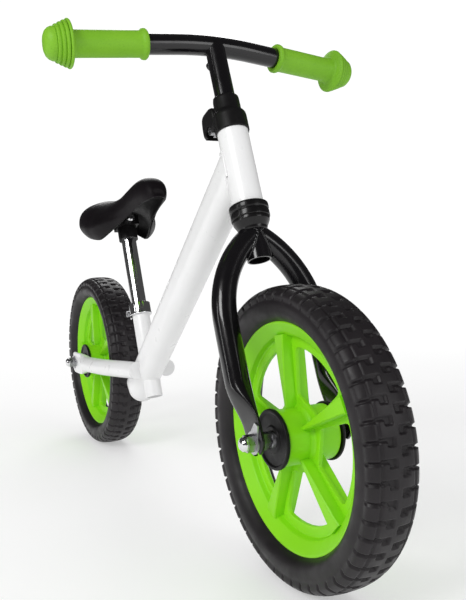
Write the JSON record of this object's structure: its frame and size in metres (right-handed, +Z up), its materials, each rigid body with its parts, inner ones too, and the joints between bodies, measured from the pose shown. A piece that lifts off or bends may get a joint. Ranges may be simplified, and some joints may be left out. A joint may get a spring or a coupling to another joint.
{
  "type": "balance bike",
  "caption": "Child's balance bike with no pedals: a welded tube frame, a turning fork and bars, a height-set saddle and moulded wheels with foam tyres.",
  "frame": {"origin": "on the ground, midway between the two axles, in the middle plane", "axes": "+X forward, the way the bike rolls; +Y to the rider's left; +Z up"},
  "size_m": [0.938, 0.3792, 0.5681],
  "materials": {
    "frame_paint": "gloss white powder coat",
    "fork_paint": "gloss black enamel",
    "chrome_plate": "polished plating",
    "zinc_steel": "zinc plated",
    "ball_steel": "ground balls",
    "dark_steel": "black oxide",
    "cover_plastic": "satin moulded black",
    "plug_plastic": "satin moulded",
    "wheel_plastic": "satin moulded green",
    "tyre_foam": "matt foam with moulded tread",
    "grip_rubber": "soft matt green",
    "saddle_skin": "soft matt skin",
    "saddle_shell": "moulded black"
  },
  "bodies": {
    "frame": {"head_tube": "frame_paint", "down_tube": "frame_paint", "down_tube_plug": "plug_plastic", "seat_tube": "frame_paint", "chainstay_right": "frame_paint", "chainstay_left": "frame_paint", "junction_screw": "zinc_steel", "seat_clamp": "chrome_plate", "seat_clamp_bolt": "zinc_steel", "seat_clamp_nut": "zinc_steel", "lower_cup": "dark_steel", "lower_balls": "ball_steel", "upper_cup": "dark_steel", "upper_balls": "ball_steel", "rear_axle": "zinc_steel", "rear_spacer": "zinc_steel", "rear_cones": "zinc_steel", "rear_tab_washers": "zinc_steel", "rear_nuts": "zinc_steel", "rear_dome_nuts": "chrome_plate"},
    "fork": {"steerer": "fork_paint", "fork_leg_right": "fork_paint", "fork_leg_left": "fork_paint", "crown_race": "dark_steel", "upper_cone": "zinc_steel", "bar_clamp": "zinc_steel", "bar_clamp_bolt": "zinc_steel", "bar_clamp_nut": "zinc_steel", "clamp_cover": "cover_plastic", "front_axle": "zinc_steel", "front_spacer": "zinc_steel", "front_cones": "zinc_steel", "front_tab_washers": "zinc_steel", "front_nuts": "zinc_steel", "front_dome_nuts": "chrome_plate"},
    "bars": {"stem": "fork_paint", "handlebar": "fork_paint", "stem_boss": "fork_paint", "grip_right": "grip_rubber", "grip_left": "grip_rubber"},
    "saddle": {"seatpost": "chrome_plate", "saddle_clamp": "cover_plastic", "saddle_bolt": "chrome_plate", "saddle_nut": "chrome_plate", "saddle_base": "saddle_shell", "saddle_pad": "saddle_skin"},
    "front_wheel": {"front_rim": "wheel_plastic", "front_tyre": "tyre_foam", "front_hub_caps": "cover_plastic", "front_bearings": "ball_steel"},
    "rear_wheel": {"rear_rim": "wheel_plastic", "rear_tyre": "tyre_foam", "rear_hub_caps": "cover_plastic", "rear_bearings": "ball_steel"}
  },
  "joints": [
    {"name": "steering", "type": "hinge", "parent": "frame", "child": "fork", "pos_m": [0.31648, 0, 0.14226], "axis": [-0.342, 0, 0.9397], "continuous": true},
    {"name": "handlebar_height", "type": "slide", "parent": "fork", "child": "bars", "axis": [-0.342, 0, 0.9397], "range_m": [-0.035, 0.04]},
    {"name": "saddle_height", "type": "slide", "parent": "frame", "child": "saddle", "axis": [-0.342, 0, 0.9397], "range_m": [-0.06, 0.03]},
    {"name": "front_wheel_spin", "type": "hinge", "parent": "fork", "child": "front_wheel", "pos_m": [0.324, 0, 0.145], "axis": [0, 1, 0], "continuous": true},
    {"name": "rear_wheel_spin", "type": "hinge", "parent": "frame", "child": "rear_wheel", "pos_m": [-0.324, 0, 0.145], "axis": [0, 1, 0], "continuous": true}
  ]
}
